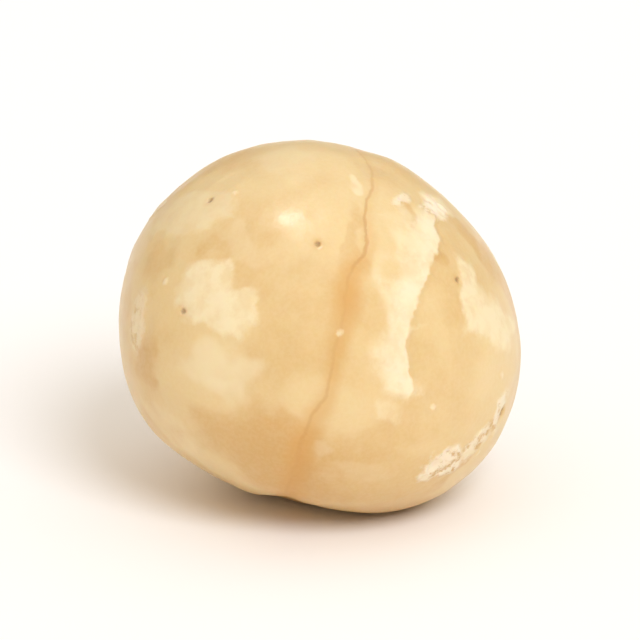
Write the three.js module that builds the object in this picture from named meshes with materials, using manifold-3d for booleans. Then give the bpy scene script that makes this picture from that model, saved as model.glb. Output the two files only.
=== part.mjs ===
// A whole shelled macadamia kernel: one solid, in millimetres, +Z up.
//
// The kernel stands on its small flat spot. The origin is on that spot's plane, under the middle of
// the kernel. -Y is the front, where the seam between the two seed halves runs down the middle, and
// +X is the right. The surface is first worked out as a distance from the kernel's centre in every
// direction, and the flat spot is then cut off the bottom.
import * as THREE from 'three';
import { mergeVertices } from 'three/addons/utils/BufferGeometryUtils.js';
import Module from 'manifold-3d';

// Driving dimensions, in millimetres and degrees.
const LONG_DIAMETER = 21.1; // across the plump body, from upper left to lower right
const SHORT_DIAMETER = 18.5; // square to that, from lower left to upper right
const DEPTH = 20.1; // front to back
const BODY_LEAN = 26; // how far the long diameter dips to the right
const BODY_TAPER = 0.11; // the body is this much narrower near the top and wider near the bottom
const FLAT_SPOT_DEPTH = 0.4; // height of the cap that the flat spot takes off the round bottom

const SEAM_LEAN = 16; // the seam's plane leans to the right at the top
const SEAM_OFFSET = 0.4; // and passes this far right of the centre
const SEAM_HALF_WIDTH = 0.7;
const SEAM_DEPTH = { shallowest: 0.04, deepest: 0.18 }; // deepest low on the front
const SEAM_WANDER = 0.18; // how far the seam swings to each side of its plane

// Round dimples and swells: the way each faces, its radius, and its height above the body.
const MICROPYLE = { bearing: -16, height: -60, radius: 1.2, rise: -0.3 }; // pit of the root tip
const CHALAZA = { bearing: 164, height: 50, radius: 2.4, rise: -0.3 }; // scar at the other pole
const HEEL = { bearing: 62, height: -50, radius: 4.2, rise: 0.4 }; // the body is fullest here

// Where the kernel grew flat against its shell: the way each flat faces, and how far it lies from
// the centre. A bearing is counted from the front, + to the right, and a height from the level.
const FLATS = [
  { bearing: -54, height: -50, reach: 9.45 }, // low left
  { bearing: -20, height: -68, reach: 9.3 }, // under the front
  { bearing: 78, height: 54, reach: 9.32 }, // upper right
  { bearing: 34, height: 8, reach: 9.95 }, // front right
  { bearing: -140, height: 14, reach: 9.85 }, // back left
  { bearing: 150, height: -34, reach: 9.9 }, // back low
];
const FLAT_SHARPNESS = 48; // higher gives each flat a crisper rim

// Broad, shallow swellings all over, each a wave of so many radians across the body's unit ball.
const SWELLINGS = [
  { wave: [2.3, 1.1, -1.7], shift: 0.6, size: 0.09 },
  { wave: [-1.4, 2.9, 2.1], shift: 2.2, size: 0.07 },
  { wave: [4.3, -2.2, 3.1], shift: 4.1, size: 0.045 },
  { wave: [-3.6, 4.7, 2.4], shift: 1.3, size: 0.035 },
];

const SURFACE_DETAIL = 17; // splits along each edge of the icosahedron that the surface starts from
const MERGE_DISTANCE = 1e-4;

// The unit vector that faces a bearing and a height.
function facing({ bearing, height }) {
  const b = THREE.MathUtils.degToRad(bearing);
  const h = THREE.MathUtils.degToRad(height);
  return new THREE.Vector3(Math.sin(b) * Math.cos(h), -Math.cos(b) * Math.cos(h), Math.sin(h));
}

// How far the leaning oval body reaches in a direction.
const bodyTurn = new THREE.Quaternion().setFromAxisAngle(
  new THREE.Vector3(0, 1, 0),
  THREE.MathUtils.degToRad(BODY_LEAN),
);
const worldToBody = bodyTurn.clone().invert();
const halfDiameters = new THREE.Vector3(LONG_DIAMETER / 2, DEPTH / 2, SHORT_DIAMETER / 2);

function ovalReach(direction) {
  const oval = 1 / direction.clone().applyQuaternion(worldToBody).divide(halfDiameters).length();
  return oval * (1 - BODY_TAPER * direction.z * (1 - direction.z ** 2));
}

// The oval with the flats pressed into it. Adding high powers of the nearness of each surface
// keeps to whichever surface is nearest and rounds the rim between them.
const flats = FLATS.map((flat) => ({ normal: facing(flat), reach: flat.reach }));

function pressedReach(direction) {
  let sum = ovalReach(direction) ** -FLAT_SHARPNESS;
  for (const { normal, reach } of flats) {
    const slope = Math.max(0, direction.dot(normal));
    sum += (slope / reach) ** FLAT_SHARPNESS;
  }
  return sum ** (-1 / FLAT_SHARPNESS);
}

function swelling(direction) {
  return SWELLINGS.reduce(
    (sum, { wave, shift, size }) =>
      sum + size * Math.sin(direction.dot(new THREE.Vector3(...wave)) + shift),
    0,
  );
}

// The seam's groove, which rings the whole kernel.
const seamLean = THREE.MathUtils.degToRad(SEAM_LEAN);
const seamNormal = new THREE.Vector3(Math.cos(seamLean), 0, -Math.sin(seamLean));

function seamGroove(direction, reach) {
  const point = direction.clone().multiplyScalar(reach);
  const wander = SEAM_WANDER * Math.sin(5 * direction.z + 2 * direction.y);
  const aside = point.dot(seamNormal) - SEAM_OFFSET * Math.cos(seamLean) - wander;
  const lowFront = (1 + direction.dot(facing({ bearing: 0, height: -40 }))) / 2;
  const depth = THREE.MathUtils.lerp(SEAM_DEPTH.shallowest, SEAM_DEPTH.deepest, lowFront);
  return depth * Math.exp(-((aside / SEAM_HALF_WIDTH) ** 2));
}

// The height of a round dimple or swell at a direction.
function moundHeight(mound, direction, reach) {
  const away = direction.angleTo(facing(mound)) * reach;
  return mound.rise * Math.exp(-((away / mound.radius) ** 2));
}

function reachOf(direction) {
  const reach = pressedReach(direction) + swelling(direction);
  return [MICROPYLE, CHALAZA, HEEL].reduce(
    (sum, mound) => sum + moundHeight(mound, direction, reach),
    reach - seamGroove(direction, reach),
  );
}

// The round kernel, as one closed surface whose vertices are shared.
function roundKernel() {
  const surface = new THREE.IcosahedronGeometry(1, SURFACE_DETAIL);
  surface.deleteAttribute('normal');
  surface.deleteAttribute('uv');
  const closed = mergeVertices(surface, MERGE_DISTANCE);
  const position = closed.getAttribute('position');
  const direction = new THREE.Vector3();
  for (let i = 0; i < position.count; i++) {
    direction.fromBufferAttribute(position, i).normalize();
    direction.multiplyScalar(reachOf(direction));
    position.setXYZ(i, direction.x, direction.y, direction.z);
  }
  return closed;
}

// Cuts the cap off the bottom, which leaves the flat spot.
async function cutFlatSpot(kernel) {
  const wasm = await Module();
  wasm.setup();
  const solidOf = (geometry) =>
    new wasm.Manifold(
      new wasm.Mesh({
        numProp: 3,
        vertProperties: new Float32Array(geometry.getAttribute('position').array),
        triVerts: new Uint32Array(geometry.index.array),
      }),
    );

  kernel.computeBoundingBox();
  const cutHeight = kernel.boundingBox.min.z + FLAT_SPOT_DEPTH;
  const block = new THREE.BoxGeometry(2 * LONG_DIAMETER, 2 * DEPTH, SHORT_DIAMETER);
  block.translate(0, 0, cutHeight - SHORT_DIAMETER / 2);
  block.deleteAttribute('normal');
  block.deleteAttribute('uv');

  const cut = solidOf(kernel).subtract(solidOf(mergeVertices(block, MERGE_DISTANCE))).getMesh();
  const geometry = new THREE.BufferGeometry();
  geometry.setAttribute('position', new THREE.BufferAttribute(cut.vertProperties, 3));
  geometry.setIndex(new THREE.BufferAttribute(cut.triVerts, 1));
  return geometry;
}

// Puts the middle of the kernel above the origin and its flat spot on the ground.
function standAtOrigin(geometry) {
  geometry.computeBoundingBox();
  const { min, max } = geometry.boundingBox;
  geometry.translate(-(min.x + max.x) / 2, -(min.y + max.y) / 2, -min.z);
  geometry.computeVertexNormals();
  return geometry;
}

const kernel = new THREE.Mesh(
  standAtOrigin(await cutFlatSpot(roundKernel())),
  new THREE.MeshStandardMaterial({ color: 0xf0ce97, roughness: 0.45, metalness: 0 }),
);
kernel.name = 'kernel';

const part = new THREE.Group();
part.add(kernel);

export default part;
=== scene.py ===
"""A whole shelled macadamia kernel: its fine surface, its material, the light and the camera.

Blender works in metres. Sizes here are in millimetres unless a name says otherwise, and MM turns them
into metres. A place on the kernel is given by its bearing, counted round the kernel from the front
(-Y) and + to the right (+X), and by its height above the level of the kernel's middle, in degrees.
"""

import math

import bpy
import numpy as np
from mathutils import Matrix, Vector
from mathutils.bvhtree import BVHTree


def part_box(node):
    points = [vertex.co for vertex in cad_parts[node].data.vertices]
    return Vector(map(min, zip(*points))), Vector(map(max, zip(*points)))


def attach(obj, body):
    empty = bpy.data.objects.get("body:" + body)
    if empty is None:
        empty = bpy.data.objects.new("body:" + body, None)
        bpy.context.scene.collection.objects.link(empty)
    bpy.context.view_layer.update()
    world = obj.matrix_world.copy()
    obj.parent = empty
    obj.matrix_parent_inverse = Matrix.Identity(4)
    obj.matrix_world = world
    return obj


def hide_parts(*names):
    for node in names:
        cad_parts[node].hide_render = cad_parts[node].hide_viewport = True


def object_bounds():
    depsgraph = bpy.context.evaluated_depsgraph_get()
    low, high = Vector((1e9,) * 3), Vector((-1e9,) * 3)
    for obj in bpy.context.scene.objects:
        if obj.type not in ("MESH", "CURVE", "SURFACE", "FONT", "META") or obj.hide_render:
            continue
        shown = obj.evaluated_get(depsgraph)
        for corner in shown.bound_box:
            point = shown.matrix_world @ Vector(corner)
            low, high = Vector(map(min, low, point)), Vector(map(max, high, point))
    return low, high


MM = 0.001
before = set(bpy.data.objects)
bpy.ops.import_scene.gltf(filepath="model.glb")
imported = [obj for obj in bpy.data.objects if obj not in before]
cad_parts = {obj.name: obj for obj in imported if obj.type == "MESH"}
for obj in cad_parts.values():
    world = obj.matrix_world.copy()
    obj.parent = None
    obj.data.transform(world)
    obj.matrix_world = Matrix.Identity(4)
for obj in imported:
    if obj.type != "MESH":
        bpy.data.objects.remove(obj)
cad_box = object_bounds()

# ---------------------------------------------------------------------------------------------
# What the kernel shows: sizes in mm, places as (bearing, height)
# ---------------------------------------------------------------------------------------------

BALL = 9.6  # mean distance from the kernel's middle to its surface

# The seam between the two halves, from the top down the front, under the kernel and up the back: the
# place, how strong its amber band is there, and how clear the fine line is.
SEAM = [
    ((64, 71), 0.2, 0.4), ((32, 59), 0.3, 0.8), ((19, 42), 0.5, 0.9), ((12, 36), 0.8, 0.5),
    ((9, 27), 1.0, 0.2), ((6, 17), 0.7, 0.2), ((3, 8), 0.6, 0.3), ((1, -2), 0.6, 0.5),
    ((-3, -10), 0.8, 0.5), ((-7, -22), 0.9, 0.2), ((-11, -37), 0.9, 0.2), ((-17, -52), 0.9, 0.4),
    ((-30, -70), 0.6, 0.3), ((-110, -82), 0.4, 0.3), ((-160, -64), 0.4, 0.5), ((-170, -40), 0.6, 0.4),
    ((-176, -15), 0.5, 0.4), ((178, 8), 0.4, 0.6), ((172, 30), 0.6, 0.4), ((163, 50), 0.3, 0.5),
    ((150, 64), 0.4, 0.5), ((120, 76), 0.3, 0.4), ((64, 71), 0.2, 0.4),
]

# The right half's crust ends in a worn lip right of the seam. Down the lip: the place of its edge and
# how wide the crust is there.
LIP = [
    ((70, 50), 2.4), ((62, 42), 3.0), ((52, 36), 2.9), ((44, 31), 2.4), ((36, 26), 1.9),
    ((31, 19), 1.8), ((29, 14), 1.7), ((26, 8), 1.6), ((27, 0), 1.6), ((25, -6), 1.2),
]

# Opaque cream patches with a crisp edge: strength, then the places round the edge.
PATCHES = [
    (1.0, [(-48, 31), (-35, 35), (-29, 28), (-21, 27), (-19, 20), (-24, 13), (-37, 14), (-51, 18)]),
    (0.55, [(-84, 31), (-84, 46), (-52, 56), (-43, 49), (-51, 41), (-64, 35)]),
    (1.0, [
        (62, 32), (68, 28), (65, 21), (73, 12), (82, 2), (71, -2), (61, 2), (60, 6), (49, 9), (53, 22),
    ]),
    (0.35, [(-64, -12), (-46, -13), (-41, -22), (-46, -35), (-57, -28)]),
    (0.9, [(67, 49), (80, 55), (95, 48), (91, 40), (74, 43)]),
    (0.7, [(27, 16), (35, 15), (28, 13)]),
    (0.7, [(23, 0), (31, -3), (24, -4)]),
    (0.5, [(16, -4), (24, -5), (22, -11), (16, -8)]),
    (0.6, [(100, 30), (112, 34), (118, 24), (108, 12), (98, 18)]),
    (0.4, [(112, -4), (124, -2), (130, -18), (118, -28), (108, -16)]),
    (0.35, [(128, 26), (150, 30), (158, 20), (140, 12), (130, 16)]),
    (0.6, [(-122, 20), (-104, 18), (-101, 2), (-112, -6), (-124, 4)]),
    (0.45, [(-150, 44), (-124, 48), (-116, 36), (-136, 30)]),
    (0.5, [(-164, -4), (-142, -4), (-136, -18), (-152, -24), (-166, -14)]),
    (0.5, [(-112, -24), (-98, -22), (-96, -34), (-110, -36)]),
]

# Soft clouds in the flesh: bearing, height, half width, half height, turn in degrees, strength.
PALE_CLOUDS = [
    (-31, 3, 2.2, 1.4, -4, 0.65), (-27, -5, 0.9, 0.9, 0, 0.5), (-30, 42, 1.9, 1.0, -16, 0.35),
    (3, -18, 0.7, 0.5, 0, 0.4), (14, -29, 1.9, 1.0, 0, 0.35), (28, 69, 0.8, 0.45, 50, 0.8),
    (44, -6, 2.6, 2.0, 0, 0.25), (-8, 31, 1.3, 2.6, 8, 0.15), (-96, 6, 1.6, 2.2, 0, 0.4),
    (120, 50, 2.6, 1.6, 30, 0.5), (172, -2, 1.8, 2.8, 10, 0.5), (-140, 8, 2.0, 2.6, -20, 0.4),
    (-60, 78, 2.2, 1.4, 0, 0.4), (100, -40, 2.0, 1.4, 0, 0.5),
]
# Honey clouds: the flesh's own honey tone, except those low on the kernel, under it and on its lower
# left, which are painted shade and warm bounced light, darker and warmer toward the bottom.
HONEY_AND_SHADE_CLOUDS = [
    (-24, -17, 3.2, 1.9, 8, 0.75), (-10, -27, 3.0, 2.6, 0, 0.8), (20, -36, 4.0, 2.2, 10, 0.5),
    (46, -14, 1.8, 1.6, 0, 0.3), (14, -18, 2.0, 1.4, 0, 0.4), (-60, -24, 1.8, 1.5, 0, 0.5),
    (-43, 37, 1.0, 0.5, 0, 0.45), (-16, 44, 1.2, 1.0, 0, 0.3), (-78, 12, 1.0, 2.0, 0, 0.4),
    (-27, 34, 0.7, 0.6, 0, 0.3), (-56, -2, 1.0, 1.7, 0, 0.7), (-66, 27, 1.2, 1.1, 0, 0.5),
    (45, 13, 0.5, 1.5, -10, 0.25), (54, 33, 0.6, 0.7, 0, 0.6), (54, 50, 0.9, 0.5, 10, 0.8),
    (54, -28, 2.4, 0.5, 45, 0.7), (14, 46, 0.5, 2.4, -14, 0.5), (86, 20, 1.2, 4.0, 0, 0.6),
    (150, -20, 4.2, 2.4, 0, 0.7), (-120, -30, 3.6, 2.2, 10, 0.7), (-170, 30, 2.2, 3.2, 0, 0.6),
    (112, 6, 1.8, 2.8, 0, 0.5), (-84, -30, 2.0, 2.6, 0, 0.5), (-110, 60, 2.8, 1.6, 0, 0.4),
    (8, -58, 5.0, 2.2, 0, 0.7), (-42, -60, 3.0, 1.8, 0, 0.5), (58, -54, 3.2, 1.8, 0, 0.5),
]

# Chipped or rough places, where thin skin still clings, given like the clouds. The brown between their
# crumbs is partly painted shade.
FLAKES = [
    (40, -29, 1.2, 0.95, 20, 1.0), (54, -25, 1.1, 0.6, 35, 0.8), (64, -18, 0.6, 1.2, -24, 0.9),
    (-64, 9, 0.8, 1.5, 0, 0.5), (56, 56, 1.1, 0.4, 6, 0.7), (76, 47, 1.3, 0.7, -20, 0.8),
    (130, -34, 1.4, 0.9, 25, 0.9), (-98, 34, 0.9, 0.7, 15, 0.7), (-140, -38, 1.2, 0.9, -15, 0.9),
    (106, -8, 0.8, 1.1, 0, 0.5), (172, 14, 0.9, 0.6, 40, 0.7),
]

# Brown pores: bearing, height, radius.
PORES = [
    (-62, 50, 0.12), (-1, 44, 0.11), (-45, 17, 0.11), (55, 25, 0.11), (66, -19, 0.14),
    (-17, -51, 0.22), (16, -58, 0.12), (110, 40, 0.12), (126, 5, 0.14), (-118, 22, 0.13),
    (-99, -8, 0.11), (-158, 6, 0.14), (152, -20, 0.12), (-136, 55, 0.12),
]
# Pale specks, where a grain of dried flesh clings.
SPECKS = [
    (6, 16, 0.16), (-52, 56, 0.12), (-56, 23, 0.13), (34, -9, 0.13), (63, -7, 0.13), (57, -29, 0.14),
    (118, 16, 0.14), (-104, 28, 0.12), (-150, -2, 0.14), (140, 44, 0.12), (96, -22, 0.14),
]

# The scar at the seam's upper end, at the back, and the pit of the root tip at its lower end.
CHALAZA = (164, 50)
CHALAZA_RADIUS = 2.3
MICROPYLE = (-16, -60)
MICROPYLE_RADIUS = 1.3


# ---------------------------------------------------------------------------------------------
# Sums over many points at once
# ---------------------------------------------------------------------------------------------

def facing(bearing, height):
    """The unit vector that faces a bearing and a height."""
    b, h = math.radians(bearing), math.radians(height)
    return np.array([math.sin(b) * math.cos(h), -math.cos(b) * math.cos(h), math.sin(h)])


def unit(vectors):
    return vectors / np.linalg.norm(vectors, axis=-1, keepdims=True)


def ease(value, low, high):
    """0 below low and 1 above high, with a smooth rise between."""
    t = np.clip((value - low) / (high - low), 0, 1)
    return t * t * (3 - 2 * t)


def bell(distance, width):
    return np.exp(-((distance / width) ** 2))


def waves(points, length, seed, count=40):
    """A smooth random field over the points, mostly within -1 to 1, with swells about length across."""
    random = np.random.default_rng(seed)
    ways = unit(random.normal(size=(count, 3)))
    steps = 2 * np.pi / (length * random.uniform(0.7, 1.5, count))
    shifts = random.uniform(0, 2 * np.pi, count)
    return np.sin(points @ (ways * steps[:, None]).T + shifts).sum(1) / math.sqrt(count)


def away_from(directions, place):
    """Each point's distance from a place on the ball, in mm."""
    return np.linalg.norm(directions - facing(*place), axis=1) * BALL


NEAR_SIDE = 0.2  # cosine of the widest angle at which a point still counts as near a place


def flat_places(directions, bearing, height):
    """Where the directions fall on the plane that touches the ball at a place, in mm, and which of
    them are near it."""
    centre = facing(bearing, height)
    east = unit(np.cross([0, 0, 1], centre))
    north = np.cross(centre, east)
    return directions @ east * BALL, directions @ north * BALL, directions @ centre > NEAR_SIDE


def turned(x, y, degrees):
    """The same places, measured along axes that are turned this far to the left."""
    a = math.radians(degrees)
    return x * math.cos(a) + y * math.sin(a), y * math.cos(a) - x * math.sin(a)


def pushes(points, big, long, small, short, seed):
    """How far across and how far upward to push each point, in mm, so that an edge is ragged: by big
    swells that are long, and by small ones that are short."""
    return [
        big * waves(points, long, first) + small * waves(points, short, first + 1)
        for first in (seed, seed + 2)
    ]


BLOT_SQUARENESS = 2.4  # 2 would make a blot an oval


def in_blots(directions, points, blots, ragged, seed):
    """How far inside the nearest round blot each point lies, in mm, and that blot's strength."""
    push_x, push_y = pushes(points, ragged, 2.2, ragged / 2, 0.8, seed)
    inside = np.full(len(points), -BALL)
    strength = np.zeros(len(points))
    for bearing, height, half_width, half_height, turn, power in blots:
        x, y, near = flat_places(directions, bearing, height)
        x, y = turned(x + push_x, y + push_y, turn)
        across, upward = np.abs(x) / half_width, np.abs(y) / half_height
        size = (across**BLOT_SQUARENESS + upward**BLOT_SQUARENESS) ** (1 / BLOT_SQUARENESS)
        field = np.where(near, (1 - size) * min(half_width, half_height), -BALL)
        strength = np.where(field > inside, power, strength)
        inside = np.maximum(inside, field)
    return inside, strength


# Shares of a cloud's half width and height: it is full within the first and gone past the second.
CLOUD_CORE, CLOUD_EDGE = 0.55, 1.35


def clouds(directions, points, blots, seed):
    """The strength of these soft-edged blots at each point, from 0 to 1."""
    push_x, push_y = pushes(points, 0.45, 2.8, 0.2, 1.0, seed)
    clear = np.ones(len(points))
    for bearing, height, half_width, half_height, turn, power in blots:
        x, y, near = flat_places(directions, bearing, height)
        x, y = turned(x + push_x, y + push_y, turn)
        size = np.hypot(x / half_width, y / half_height)
        clear *= 1 - near * power * ease(-size, -CLOUD_EDGE, -CLOUD_CORE)
    return 1 - clear


NOT_ZERO = 1e-12  # keeps an edge that lies level from dividing by 0


def in_outlines(directions, points, outlines, ragged, seed):
    """How far inside the nearest outline each point lies, in mm, and that outline's strength."""
    push_x, push_y = pushes(points, ragged, 1.6, ragged / 2, 0.6, seed)
    inside = np.full(len(points), -BALL)
    strength = np.zeros(len(points))
    for power, places in outlines:
        bearing, height = np.mean(places, axis=0)
        x, y, near = flat_places(directions, bearing, height)
        x, y = x + push_x, y + push_y
        corners = np.array([facing(*place) for place in places])
        corner_x, corner_y, _ = flat_places(corners, bearing, height)
        away = np.full(len(points), np.inf)
        crossings = np.zeros(len(points), int)
        for k in range(len(places)):
            ax, ay, bx, by = corner_x[k - 1], corner_y[k - 1], corner_x[k], corner_y[k]
            east, north = bx - ax, by - ay
            share = np.clip(((x - ax) * east + (y - ay) * north) / (east**2 + north**2), 0, 1)
            away = np.minimum(away, np.hypot(x - ax - share * east, y - ay - share * north))
            spans = (ay > y) != (by > y)
            crossings += spans & (x < ax + (y - ay) * east / (north + NOT_ZERO))
        field = np.where(near, np.where(crossings % 2 == 1, away, -away), -BALL)
        strength = np.where(field > inside, power, strength)
        inside = np.maximum(inside, field)
    return inside, strength


def curved(rows, steps=5):
    """The rows with more between them, along a smooth curve through every row."""
    rows = np.array(rows)
    rows = np.vstack([2 * rows[0] - rows[1], rows, 2 * rows[-1] - rows[-2]])
    t = np.linspace(0, 1, steps, endpoint=False)[:, None]
    spans = [
        b + (t * (c - a) + t**2 * (2 * a - 5 * b + 4 * c - d) + t**3 * (3 * b - a - 3 * c + d)) / 2
        for a, b, c, d in zip(rows, rows[1:], rows[2:], rows[3:])
    ]
    return np.vstack([*spans, rows[-2]])


def beside_path(directions, path):
    """Each point's distance from a line over the kernel, in mm, + to the right of it where it runs
    down, how far along the line it lies, from 0 to 1, and what the path's values come to there."""
    rows = curved([[*facing(*place), *values] for place, *values in path])
    stops = rows[:, :3]
    best = np.full(len(directions), np.inf)
    side = np.ones(len(directions))
    along = np.zeros(len(directions))
    for i, (start, end) in enumerate(zip(stops[:-1], stops[1:])):
        step = end - start
        share = np.clip((directions - start) @ step / (step @ step), 0, 1)
        away = np.linalg.norm(directions - start - share[:, None] * step, axis=1)
        nearer = away < best
        best = np.where(nearer, away, best)
        side = np.where(nearer, np.sign(directions @ np.cross(start, step)), side)
        along = np.where(nearer, i + share, along)
    values = [np.interp(along, range(len(rows)), column) for column in rows[:, 3:].T]
    return best * side * BALL, along / (len(rows) - 1), values


# ---------------------------------------------------------------------------------------------
# The kernel's fine surface
# ---------------------------------------------------------------------------------------------

GRID_CELLS = 128  # along each edge of the cube that the surface's grid is blown up from
SAME_PLACE = 9  # decimals to which two of the grid's points have to agree to be one

# The flat map holds the cube's six sides, each with an empty margin round it.
ATLAS_COLUMNS, ATLAS_ROWS = 3, 2
ATLAS_MARGIN = 0.012

WELD_DISTANCE = 0.001 * MM
SMOOTHING_LEVELS = 2
EVENING_ROUNDS = 6


def ball_grid(cells):
    """A cube's grid blown up to a ball: directions, four corners a face, and each corner's place in
    the flat map."""
    steps = np.tan(np.linspace(-1, 1, cells + 1) * math.pi / 4)
    v, u = np.meshgrid(steps, steps, indexing="ij")
    ones = np.ones_like(u)
    sides = [(ones, u, v), (-u, ones, v), (-ones, -u, v), (u, -ones, v), (u, v, ones), (u, -v, -ones)]
    points = np.concatenate([np.stack(side, -1).reshape(-1, 3) for side in sides])
    rounded = np.round(points, SAME_PLACE)
    _, first, shared = np.unique(rounded, axis=0, return_index=True, return_inverse=True)
    row, column = np.meshgrid(np.arange(cells), np.arange(cells), indexing="ij")
    corner = (row * (cells + 1) + column).reshape(-1, 1)
    quad = corner + np.array([0, 1, cells + 2, cells + 1])
    quads = np.concatenate([quad + side * (cells + 1) ** 2 for side in range(6)])

    line = np.linspace(ATLAS_MARGIN, 1 - ATLAS_MARGIN, cells + 1)
    flat_v, flat_u = np.meshgrid(line, line, indexing="ij")
    flat = np.stack([flat_u, flat_v], -1).reshape(-1, 2)
    places = [(side % ATLAS_COLUMNS, side // ATLAS_COLUMNS) for side in range(6)]
    atlas = np.concatenate([(flat + place) / (ATLAS_COLUMNS, ATLAS_ROWS) for place in places])
    return unit(points[first]), shared.reshape(-1)[quads], atlas[quads]


def cad_reach(node, middle, directions):
    """How far the CAD node's surface, smoothed, lies from its middle in each direction, in mm."""
    smooth = bpy.data.objects.new("smoothed", node.data.copy())
    bpy.context.scene.collection.objects.link(smooth)
    smooth.modifiers.new("weld", "WELD").merge_threshold = WELD_DISTANCE
    smooth.modifiers.new("smooth", "SUBSURF").levels = SMOOTHING_LEVELS
    tree = BVHTree.FromObject(smooth, bpy.context.evaluated_depsgraph_get())
    start = Vector(middle)
    reach = [tree.ray_cast(start, Vector(d))[3] for d in directions]
    bpy.data.objects.remove(smooth)
    return np.array(reach) / MM


def evened(values, quads, rounds):
    """The values averaged with their neighbours' along the grid, that many times."""
    edges = np.concatenate([quads[:, [k, (k + 1) % 4]] for k in range(4)])
    count = np.bincount(edges[:, 0], minlength=len(values))
    for _ in range(rounds):
        total = np.bincount(edges[:, 0], values[edges[:, 1]], minlength=len(values))
        values = (values + total / count) / 2
    return values


def surface_fields(directions):
    """The marks on the kernel, as one number a point for each kind."""
    points = directions * BALL
    fields = {}
    seam, _, (fields["seam_band"], fields["seam_line"]) = beside_path(directions, SEAM)
    fields["seam"] = seam + 0.08 * waves(points, 2.4, 11) + 0.03 * waves(points, 0.9, 12)

    lip, along, (width,) = beside_path(directions, LIP)
    fields["lip"] = lip + 0.16 * waves(points, 1.5, 21) + 0.05 * waves(points, 0.5, 22)
    fields["crust"] = ease(lip + 0.6 * waves(points, 1.7, 23), -width - 0.6, -width + 0.7)
    fields["lip_strength"] = ease(along, 0.0, 0.06) * ease(-along, -1.0, -0.94)

    fields["patch"], fields["patch_strength"] = in_outlines(directions, points, PATCHES, 0.14, 31)
    fields["flake"], fields["flake_strength"] = in_blots(directions, points, FLAKES, 0.22, 41)
    fields["pale"] = clouds(directions, points, PALE_CLOUDS, 61)
    # The honey clouds are partly painted shade, low on the kernel and under it.
    fields["honey_and_shade"] = clouds(directions, points, HONEY_AND_SHADE_CLOUDS, 71)

    for name, spots in (("pore", PORES), ("speck", SPECKS)):
        inside = np.full(len(points), -BALL)
        for bearing, height, radius in spots:
            inside = np.maximum(inside, radius - away_from(directions, (bearing, height)))
        fields[name] = inside
    fields["chalaza"] = away_from(directions, CHALAZA)
    fields["micropyle"] = away_from(directions, MICROPYLE)
    return fields


# Heights and depths of the relief, in mm.
SWELLS = ((0.030, 6.0, 51), (0.016, 2.6, 52), (0.005, 1.1, 53))  # height, length, seed
DIP_DEPTH = 0.04
SEAM_BAND_DEPTH = 0.02
SEAM_LINE_DEPTH = 0.02
LIP_HEIGHT = 0.10
PATCH_HEIGHT = 0.018
FLAKE_HEIGHT = 0.03
FLAKE_ROUGHNESS = 0.06
PORE_DEPTH = 0.09
SPECK_HEIGHT = 0.06
MICROPYLE_DEPTH = 0.12
CHALAZA_RIM = 0.02
CHALAZA_DEPTH = 0.05
CHALAZA_WRINKLES = 0.006


def relief(directions, fields):
    """The height of everything finer than the CAD surface, in mm."""
    points = directions * BALL
    height = sum(tall * waves(points, length, seed) for tall, length, seed in SWELLS)
    height -= DIP_DEPTH * ease(waves(points, 3.4, 54), 0.5, 1.5)

    seam = np.abs(fields["seam"])
    height -= SEAM_BAND_DEPTH * fields["seam_band"] * bell(seam, 1.0)
    height -= SEAM_LINE_DEPTH * fields["seam_line"] * bell(seam, 0.18)

    lip = fields["lip"]
    shelf = np.where(lip < 0, bell(lip, 1.1), bell(lip, 0.22))
    height += LIP_HEIGHT * fields["lip_strength"] * shelf

    height += PATCH_HEIGHT * fields["patch_strength"] * ease(fields["patch"], -0.10, 0.14)
    rough = 0.5 - np.abs(waves(points, 0.9, 55)) + 0.4 * waves(points, 0.45, 56)
    flake = fields["flake_strength"] * ease(fields["flake"], -0.25, 0.25)
    height += flake * (FLAKE_HEIGHT + FLAKE_ROUGHNESS * rough)

    height -= PORE_DEPTH * ease(fields["pore"], -0.16, 0.06)
    height += SPECK_HEIGHT * ease(fields["speck"], -0.10, 0.06)
    height += chalaza_relief(directions, fields["chalaza"])
    height -= MICROPYLE_DEPTH * bell(fields["micropyle"], 0.5)
    return height


def chalaza_relief(directions, away):
    """A sunk round scar with a low rim and wrinkles that run out from its middle."""
    rim = CHALAZA_RIM * bell(away - CHALAZA_RADIUS, 0.6)
    floor = -CHALAZA_DEPTH * ease(-away, -CHALAZA_RADIUS, -0.6 * CHALAZA_RADIUS)
    centre = facing(*CHALAZA)
    east = unit(np.cross([0, 0, 1], centre))
    turn = np.arctan2(directions @ np.cross(centre, east), directions @ east)
    folds = np.sin(11 * turn + 3 * np.sin(2 * turn))
    return rim + floor + CHALAZA_WRINKLES * folds * bell(away - 1.3, 0.7)


def make_kernel():
    """The kernel's visible piece, which stands for the CAD node."""
    low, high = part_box("kernel")
    middle = (low + high) / 2
    directions, quads, atlas = ball_grid(GRID_CELLS)
    reach = evened(cad_reach(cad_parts["kernel"], middle, directions), quads, EVENING_ROUNDS)
    fields = surface_fields(directions)
    reach += relief(directions, fields)
    places = np.array(middle) + directions * reach[:, None] * MM
    places[:, 2] = np.maximum(places[:, 2], low.z)

    mesh = bpy.data.meshes.new("kernel_surface")
    mesh.from_pydata(places.tolist(), [], quads.tolist())
    mesh.polygons.foreach_set("use_smooth", np.ones(len(quads), bool))
    mesh.uv_layers.new(name="OFBake").data.foreach_set("uv", atlas.reshape(-1))
    for name, values in fields.items():
        mesh.attributes.new(name, "FLOAT", "POINT").data.foreach_set("value", values.astype(np.float32))
    mesh.update()

    kernel = bpy.data.objects.new("kernel_surface", mesh)
    bpy.context.scene.collection.objects.link(kernel)
    kernel.data.materials.append(kernel_material())
    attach(kernel, "root")
    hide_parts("kernel")


# ---------------------------------------------------------------------------------------------
# The kernel's material
# ---------------------------------------------------------------------------------------------

def tone(red, green, blue):
    """A colour in the usual 0 to 255 steps, as the linear colour that a shader takes."""
    def linear(step):
        share = step / 255
        return share / 12.92 if share <= 0.04045 else ((share + 0.055) / 1.055) ** 2.4
    return (linear(red), linear(green), linear(blue), 1)


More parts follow.
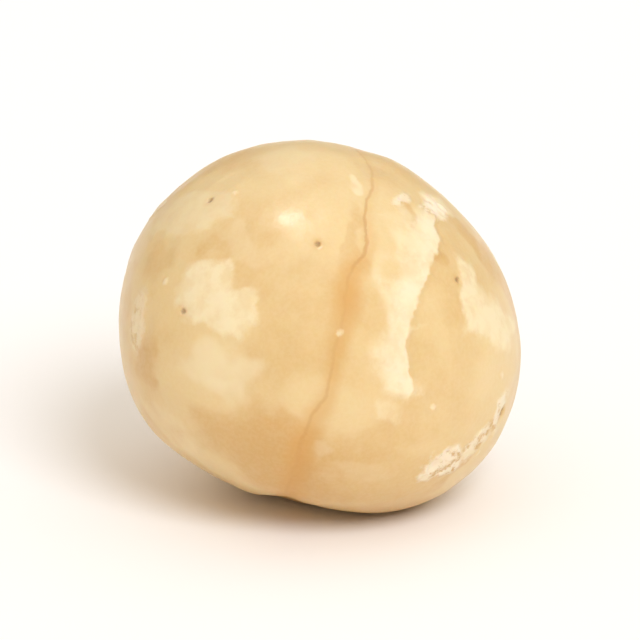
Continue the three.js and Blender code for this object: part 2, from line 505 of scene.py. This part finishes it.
class Shader:
    """The nodes of a material, with short ways to add them. It is called s below."""

    def __init__(self, material):
        material.use_nodes = True
        self.tree = material.node_tree
        self.tree.nodes.clear()
        self.place = self.node("ShaderNodeTexCoord").outputs["Object"]

    def node(self, kind, **settings):
        """A new node of this kind, with these settings."""
        made = self.tree.nodes.new(kind)
        for name, value in settings.items():
            setattr(made, name, value)
        return made

    def put(self, socket, value):
        """Links a socket to another node's output, or sets it to a plain value."""
        if isinstance(value, bpy.types.NodeSocket):
            self.tree.links.new(value, socket)
        else:
            socket.default_value = value

    def field(self, name):
        """One of the mesh's fields of marks."""
        return self.node("ShaderNodeAttribute", attribute_name=name).outputs["Fac"]

    def calc(self, operation, *values):
        """A sum over sockets and plain numbers, such as MULTIPLY or ADD."""
        made = self.node("ShaderNodeMath", operation=operation)
        for socket, value in zip(made.inputs, values):
            self.put(socket, value)
        return made.outputs[0]

    def ease(self, value, low, high, start=0.0, end=1.0):
        """A smooth change from start, where the value is low, to end, where it is high."""
        made = self.node("ShaderNodeMapRange", interpolation_type="SMOOTHSTEP")
        for socket, number in zip(made.inputs, (value, low, high, start, end)):
            self.put(socket, number)
        return made.outputs[0]

    def mix(self, share, first, second):
        """The first colour with a share of the second."""
        made = self.node("ShaderNodeMix", data_type="RGBA")
        colours = [socket for socket in made.inputs if socket.type == "RGBA"]
        self.put(made.inputs[0], share)
        self.put(colours[0], first)
        self.put(colours[1], second)
        return next(socket for socket in made.outputs if socket.type == "RGBA")

    def noise(self, size, detail=2.0, roughness=0.5):
        """Noise whose swells are about size mm across, from 0 to 1."""
        made = self.node("ShaderNodeTexNoise")
        self.put(made.inputs["Vector"], self.place)
        made.inputs["Scale"].default_value = 1 / (size * MM)
        made.inputs["Detail"].default_value = detail
        made.inputs["Roughness"].default_value = roughness
        return made.outputs["Fac"]


CREAM = tone(228, 200, 146)
TAN = tone(220, 186, 128)
# The honey tint also paints shade and warm bounced light low on the kernel.
HONEY_AND_SHADE_TINT = tone(206, 156, 84)
PALE = tone(239, 222, 181)
LIP_WHITE = tone(243, 229, 196)
SKIN = tone(244, 230, 203)
# Brown for the gaps between crumbs: some skin colour, and painted shade in those hollows.
SKIN_BROWN_AND_GAP_SHADE = tone(190, 146, 94)
SEAM_AMBER = tone(212, 155, 74)
SEAM_BROWN = tone(190, 130, 66)
SCAR_TAN = tone(203, 156, 98)
SCAR_BROWN = tone(168, 116, 66)
PORE_BROWN = tone(132, 90, 56)


def body_colour(s):
    """Waxy flesh: cream, tan and honey in soft clouds, with mottling and a fine grain; the honey low on
    the kernel is painted shade.
    """
    colour = s.mix(s.ease(s.noise(5.0, 2), 0.38, 0.62), TAN, CREAM)
    colour = s.mix(s.ease(s.noise(1.3, 3), 0.35, 0.65, 0, 0.35), colour, CREAM)
    blotch = s.calc("MULTIPLY_ADD", s.noise(1.5, 3, 0.5), 0.4, -0.2)
    # The honey clouds lay the flesh's own honey tone and painted shade low on the kernel.
    for name, strength, cloud_tint in (("honey_and_shade", 0.60, HONEY_AND_SHADE_TINT), ("pale", 0.75, PALE)):
        field = s.field(name)
        edged = s.calc("MULTIPLY_ADD", s.ease(field, 0, 0.6), blotch, field)
        colour = s.mix(s.ease(edged, 0.0, 1.0, 0, strength), colour, cloud_tint)
    grain = s.ease(s.noise(0.22, 3, 0.65), 0.35, 0.65, 0, 0.10)
    return s.mix(grain, colour, PALE)


def marks(s):
    """The masks of the marks on the surface, from their fields and some raggedness."""
    fringe = s.calc("MULTIPLY_ADD", s.noise(0.45, 4, 0.6), 0.4, -0.2)
    fine = s.calc("MULTIPLY_ADD", s.noise(0.16, 2, 0.6), 0.2, -0.1)
    ragged = s.calc("ADD", fringe, fine)

    def inside(name, low, high):
        edge = s.ease(s.calc("ADD", s.field(name), ragged), low, high)
        return s.calc("MULTIPLY", edge, s.field(name + "_strength"))

    masks = {"patch": inside("patch", -0.22, 0.34), "flake": inside("flake", -0.10, 0.25)}
    seam = s.calc("ADD", s.field("seam"), s.calc("MULTIPLY", fringe, 0.5))
    beside = s.calc("ABSOLUTE", s.calc("ADD", seam, -0.15))
    band_width = s.calc("MULTIPLY_ADD", s.field("seam_band"), 0.9, 0.3)
    masks["seam_band"] = s.calc("MULTIPLY", s.ease(beside, band_width, 0.05), s.field("seam_band"))
    line = s.ease(s.calc("ABSOLUTE", seam), 0.15, 0.02)
    masks["seam_line"] = s.calc("MULTIPLY", line, s.field("seam_line"))

    lip = s.calc("ADD", s.field("lip"), s.calc("MULTIPLY", ragged, 0.5))
    edge = s.calc("MULTIPLY", s.ease(lip, 0.12, -0.10), s.field("lip_strength"))
    worn = s.ease(s.noise(1.4, 4, 0.6), 0.35, 0.60, 0.35, 1.0)
    masks["crust"] = s.calc("MULTIPLY", s.calc("MULTIPLY", edge, s.field("crust")), worn)
    bright = s.ease(s.calc("ADD", lip, s.calc("MULTIPLY", ragged, 1.5)), -1.7, -0.5)
    masks["spine"] = s.calc("MULTIPLY", s.calc("MULTIPLY", edge, bright), s.calc("POWER", worn, 0.5))
    for name in ("pore", "speck"):
        masks[name] = s.ease(s.calc("MULTIPLY_ADD", ragged, 0.8, s.field(name)), -0.10, 0.08)
    masks["pore_halo"] = s.ease(s.field("pore"), -0.45, 0.0)

    crumb = s.ease(s.noise(0.7, 4, 0.65), 0.36, 0.49)
    masks["crumb"] = s.calc("MULTIPLY", masks["flake"], crumb)
    # The gaps between the raised crumbs, tinted brown: partly painted shade.
    masks["gap"] = s.calc("SUBTRACT", masks["flake"], masks["crumb"])

    scar_shape = s.calc("MULTIPLY_ADD", s.noise(1.8, 3, 0.55), 2.4, -1.2)
    from_scar = s.calc("ADD", s.field("chalaza"), s.calc("ADD", scar_shape, fringe))
    masks["scar"] = s.ease(from_scar, CHALAZA_RADIUS, 0.4 * CHALAZA_RADIUS)
    rim = s.ease(s.calc("ABSOLUTE", s.calc("ADD", from_scar, -0.9 * CHALAZA_RADIUS)), 0.6, 0.0)
    masks["scar_rim"] = s.calc("MULTIPLY", rim, s.ease(s.noise(2.5, 2), 0.35, 0.65))
    masks["tip"] = s.ease(s.calc("ADD", s.field("micropyle"), fringe), MICROPYLE_RADIUS, 0.2)
    return masks


def kernel_colour(s, masks):
    """The flesh with every mark laid over it, the last on top."""
    colour = body_colour(s)
    inner = s.ease(s.noise(1.1, 4, 0.6), 0.34, 0.6, 0.50, 0.95)
    layers = [
        ("seam_band", 0.62, SEAM_AMBER),
        ("patch", inner, PALE),
        ("crust", 0.75, PALE),
        ("spine", 0.7, LIP_WHITE),
        ("crumb", 0.9, SKIN),
        # the gaps' brown is partly painted shade
        ("gap", 0.35, SKIN_BROWN_AND_GAP_SHADE),
        ("scar", 0.5, SCAR_TAN),
        ("scar_rim", 0.5, SCAR_BROWN),
        ("tip", 0.6, SCAR_BROWN),
        ("seam_line", 0.45, SEAM_BROWN),
        ("speck", 0.5, LIP_WHITE),
        ("pore_halo", 0.2, SEAM_AMBER),
        ("pore", 0.55, PORE_BROWN),
    ]
    for name, share, tint in layers:
        colour = s.mix(s.calc("MULTIPLY", masks[name], share), colour, tint)
    return colour


# The flesh's roughness. Below 0.28 the denoiser cuts soft reflections into hard-edged islands.
WAXIEST, DULLEST = 0.29, 0.36


def kernel_roughness(s, masks):
    """A waxy sheen, duller on crust and where the surface is broken."""
    rough = s.ease(s.noise(2.2, 3), 0.3, 0.7, WAXIEST, DULLEST)
    for name, more in (("patch", 0.12), ("crust", 0.08), ("flake", 0.25), ("pore", 0.25)):
        rough = s.calc("MULTIPLY_ADD", masks[name], more, rough)
    return rough


def kernel_bump(s, masks):
    """Fine relief, in mm: a waxy skin, grain, and the thickness of crust and crumbs."""
    layers = [
        (s.noise(0.9, 3, 0.55), 0.018),
        (s.noise(0.20, 3, 0.6), 0.004),
        (masks["patch"], 0.010),
        (masks["crust"], 0.016),
        (masks["crumb"], 0.035),
        (masks["seam_line"], -0.010),
        (masks["pore"], -0.05),
    ]
    height = 0.0
    for field, tall in layers:
        height = s.calc("MULTIPLY_ADD", field, tall * MM, height)
    bump = s.node("ShaderNodeBump")
    bump.inputs["Distance"].default_value = 1.0
    s.put(bump.inputs["Height"], height)
    return bump.outputs["Normal"]


def kernel_material():
    """Oily flesh that lets a little light through."""
    material = bpy.data.materials.new("kernel_flesh")
    s = Shader(material)
    masks = marks(s)
    shader = s.node("ShaderNodeBsdfPrincipled", subsurface_method="RANDOM_WALK")
    s.put(shader.inputs["Base Color"], kernel_colour(s, masks))
    s.put(shader.inputs["Roughness"], kernel_roughness(s, masks))
    s.put(shader.inputs["Normal"], kernel_bump(s, masks))
    shader.inputs["IOR"].default_value = 1.46
    shader.inputs["Subsurface Weight"].default_value = 0.4
    shader.inputs["Subsurface Radius"].default_value = (1.0, 0.5, 0.2)
    shader.inputs["Subsurface Scale"].default_value = 1.6 * MM
    out = s.node("ShaderNodeOutputMaterial")
    s.put(out.inputs["Surface"], shader.outputs["BSDF"])
    return material


# ---------------------------------------------------------------------------------------------
# Floor, light and camera
# ---------------------------------------------------------------------------------------------

FLOOR_GAP = 0.02 * MM
FLOOR_REACH = 5.0  # metres, out to each side
FLOOR_WHITE = (0.97, 0.945, 0.915, 1)
CAMERA_HEIGHT = 20  # degrees above the level
CAMERA_LENS = 400
KERNEL_SHARE = 0.63  # of the picture's width

# The studio round the kernel: a dim warm horizon below a bright, slightly warm ceiling. The key light is
# a little blue, so that the two together are white and the shadows warm.
KEY_COLOUR = (0.94, 1.02, 1.15)
WHITE = (1, 1, 1)
HORIZON_GLOW = (0.24, 0.14, 0.06)
CEILING_GLOW = (0.92, 0.875, 0.81)
CEILING_START = 0.7  # where the horizon's glow has given way, if 0 is level and 1 is overhead


def make_floor():
    """A dull white floor, just under the kernel's flat spot."""
    mesh = bpy.data.meshes.new("floor")
    corners = [(-1, -1), (1, -1), (1, 1), (-1, 1)]
    places = [(x * FLOOR_REACH, y * FLOOR_REACH, -FLOOR_GAP) for x, y in corners]
    mesh.from_pydata(places, [], [(0, 1, 2, 3)])
    floor = bpy.data.objects.new("floor", mesh)
    bpy.context.scene.collection.objects.link(floor)
    material = bpy.data.materials.new("floor_white")
    material.use_nodes = True
    shader = material.node_tree.nodes["Principled BSDF"]
    shader.inputs["Base Color"].default_value = FLOOR_WHITE
    shader.inputs["Roughness"].default_value = 0.9
    shader.inputs["Specular IOR Level"].default_value = 0.1
    floor.data.materials.append(material)


def add_sun(name, bearing, height, strength, spread, colour, sheen):
    """A distant light. spread is the angle that it fills in the sky, in degrees. A sheen light gives
    nothing but its highlight, and the other kind gives none."""
    light = bpy.data.lights.new(name, "SUN")
    light.energy = strength
    light.color = colour
    light.angle = math.radians(spread)
    sun = bpy.data.objects.new(name, light)
    bpy.context.scene.collection.objects.link(sun)
    sun.rotation_euler = Vector(facing(bearing, height)).to_track_quat("Z", "Y").to_euler()
    sun.visible_diffuse = not sheen
    sun.visible_glossy = sheen


def make_light():
    """The two suns, and a studio that the camera itself sees as plain white."""
    add_sun("key", bearing=26, height=43, strength=1.6, spread=28, colour=KEY_COLOUR, sheen=False)
    add_sun("highlight", bearing=-50, height=84, strength=1.05, spread=9, colour=WHITE, sheen=True)

    world = bpy.data.worlds.new("studio")
    bpy.context.scene.world = world
    world.use_nodes = True
    nodes, links = world.node_tree.nodes, world.node_tree.links
    nodes.clear()
    place = nodes.new("ShaderNodeTexCoord")
    split = nodes.new("ShaderNodeSeparateXYZ")
    links.new(place.outputs["Generated"], split.inputs[0])
    rise = nodes.new("ShaderNodeMapRange")
    links.new(split.outputs["Z"], rise.inputs["Value"])
    rise.inputs["From Max"].default_value = CEILING_START
    blend = nodes.new("ShaderNodeMix")
    blend.data_type = "RGBA"
    links.new(rise.outputs[0], blend.inputs[0])
    horizon, ceiling = [socket for socket in blend.inputs if socket.type == "RGBA"]
    horizon.default_value = (*HORIZON_GLOW, 1)
    ceiling.default_value = (*CEILING_GLOW, 1)
    studio = nodes.new("ShaderNodeBackground")
    glow = next(socket for socket in blend.outputs if socket.type == "RGBA")
    links.new(glow, studio.inputs["Color"])
    backdrop = nodes.new("ShaderNodeBackground")
    backdrop.inputs["Color"].default_value = (*WHITE, 1)
    path = nodes.new("ShaderNodeLightPath")
    either = nodes.new("ShaderNodeMixShader")
    links.new(path.outputs["Is Camera Ray"], either.inputs[0])
    links.new(studio.outputs[0], either.inputs[1])
    links.new(backdrop.outputs[0], either.inputs[2])
    links.new(either.outputs[0], nodes.new("ShaderNodeOutputWorld").inputs["Surface"])


def make_camera(target, width):
    """Looks from the front at the target, where this width is KERNEL_SHARE of the picture's."""
    data = bpy.data.cameras.new("camera")
    data.lens = CAMERA_LENS
    distance = width / KERNEL_SHARE * data.lens / data.sensor_width
    camera = bpy.data.objects.new("camera", data)
    bpy.context.scene.collection.objects.link(camera)
    back = Vector(facing(0, CAMERA_HEIGHT))
    camera.location = target + back * distance
    camera.rotation_euler = back.to_track_quat("Z", "Y").to_euler()
    data.clip_start, data.clip_end = distance / 20, distance * 100
    bpy.context.scene.camera = camera


# ---------------------------------------------------------------------------------------------
# The scene
# ---------------------------------------------------------------------------------------------

bpy.context.scene.view_settings.view_transform = "Standard"
make_camera((cad_box[0] + cad_box[1]) / 2, cad_box[1].x - cad_box[0].x)
make_light()
make_floor()
make_kernel()
